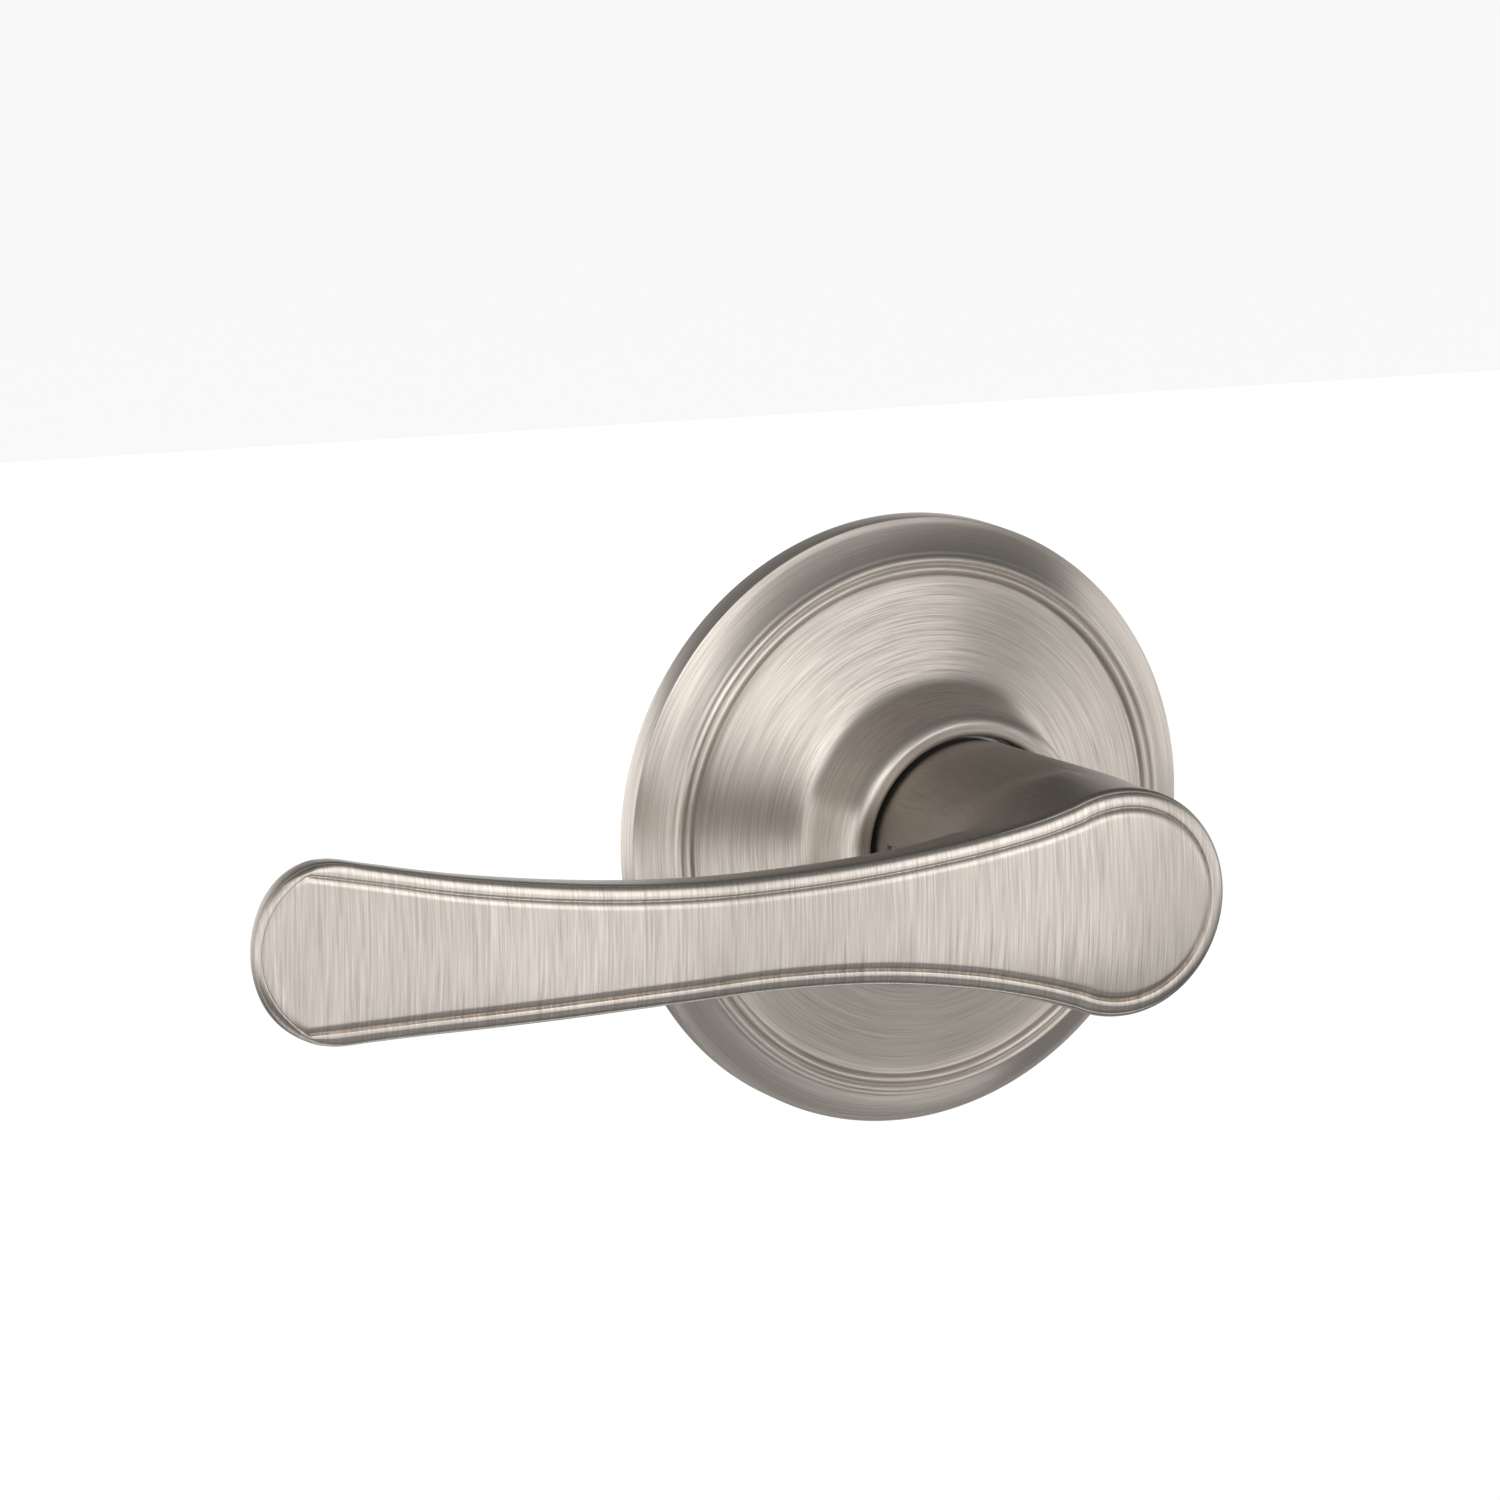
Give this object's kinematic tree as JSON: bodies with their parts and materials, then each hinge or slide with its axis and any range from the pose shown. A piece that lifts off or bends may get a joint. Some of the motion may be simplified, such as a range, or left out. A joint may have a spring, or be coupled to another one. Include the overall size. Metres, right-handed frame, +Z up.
{
  "type": "door lever handle",
  "caption": "Round-rose passage door lever: hollow neck, flared arm with a bordered face, and a sprung chassis with spindle and threaded posts.",
  "frame": {"origin": "on the lever's turning axis at the door's face", "axes": "+Y into the door along the turning axis, +Z up, the arm points along -X and the room is on the -Y side"},
  "size_m": [0.1219, 0.0981, 0.066],
  "materials": {
    "brushed_nickel": "warm satin nickel plate, brushed",
    "zinc_plated_steel": "bright zinc plate",
    "spring_steel": "oiled spring steel",
    "cast_zinc": "as-cast zinc alloy",
    "nylon": "moulded nylon"
  },
  "bodies": {
    "root": {"rose_cover": "brushed_nickel", "mounting_plate": "zinc_plated_steel", "hub_sleeve": "zinc_plated_steel", "thrust_washer": "zinc_plated_steel", "spring_cage": "zinc_plated_steel", "cage_rivet_1": "zinc_plated_steel", "cage_rivet_2": "zinc_plated_steel", "cage_rivet_3": "zinc_plated_steel", "cage_rivet_4": "zinc_plated_steel", "post_left": "zinc_plated_steel", "post_right": "zinc_plated_steel", "post_nut_left": "zinc_plated_steel", "post_nut_right": "zinc_plated_steel", "clip_rivet_1": "zinc_plated_steel", "clip_rivet_2": "zinc_plated_steel", "clip_rivet_3": "zinc_plated_steel", "wave_washer": "spring_steel", "return_spring": "spring_steel", "rose_clip_1": "spring_steel", "rose_clip_2": "spring_steel", "rose_clip_3": "spring_steel", "tube_bushing": "nylon"},
    "lever": {"lever_handle": "brushed_nickel", "drive_tube": "zinc_plated_steel", "retaining_ring": "spring_steel", "rotor_cam": "zinc_plated_steel", "spindle_driver": "cast_zinc", "spindle_bar": "zinc_plated_steel", "spindle_pin": "spring_steel", "catch_carrier": "cast_zinc", "catch_spring": "spring_steel"},
    "catch": {"catch_plunger": "zinc_plated_steel"}
  },
  "joints": [
    {"name": "lever_turn", "type": "hinge", "parent": "root", "child": "lever", "pos_m": [0, 0, 0], "axis": [0, -1, 0], "range_deg": [-50, 50], "stiffness_Nm_per_rad": 2.5, "springref_deg": -0.57, "deforming": ["return_spring"]},
    {"name": "catch_press", "type": "slide", "parent": "lever", "child": "catch", "axis": [1, 0, 0], "range_m": [0, 0.0024], "stiffness_N_per_m": 700, "deforming": ["catch_spring"]}
  ]
}
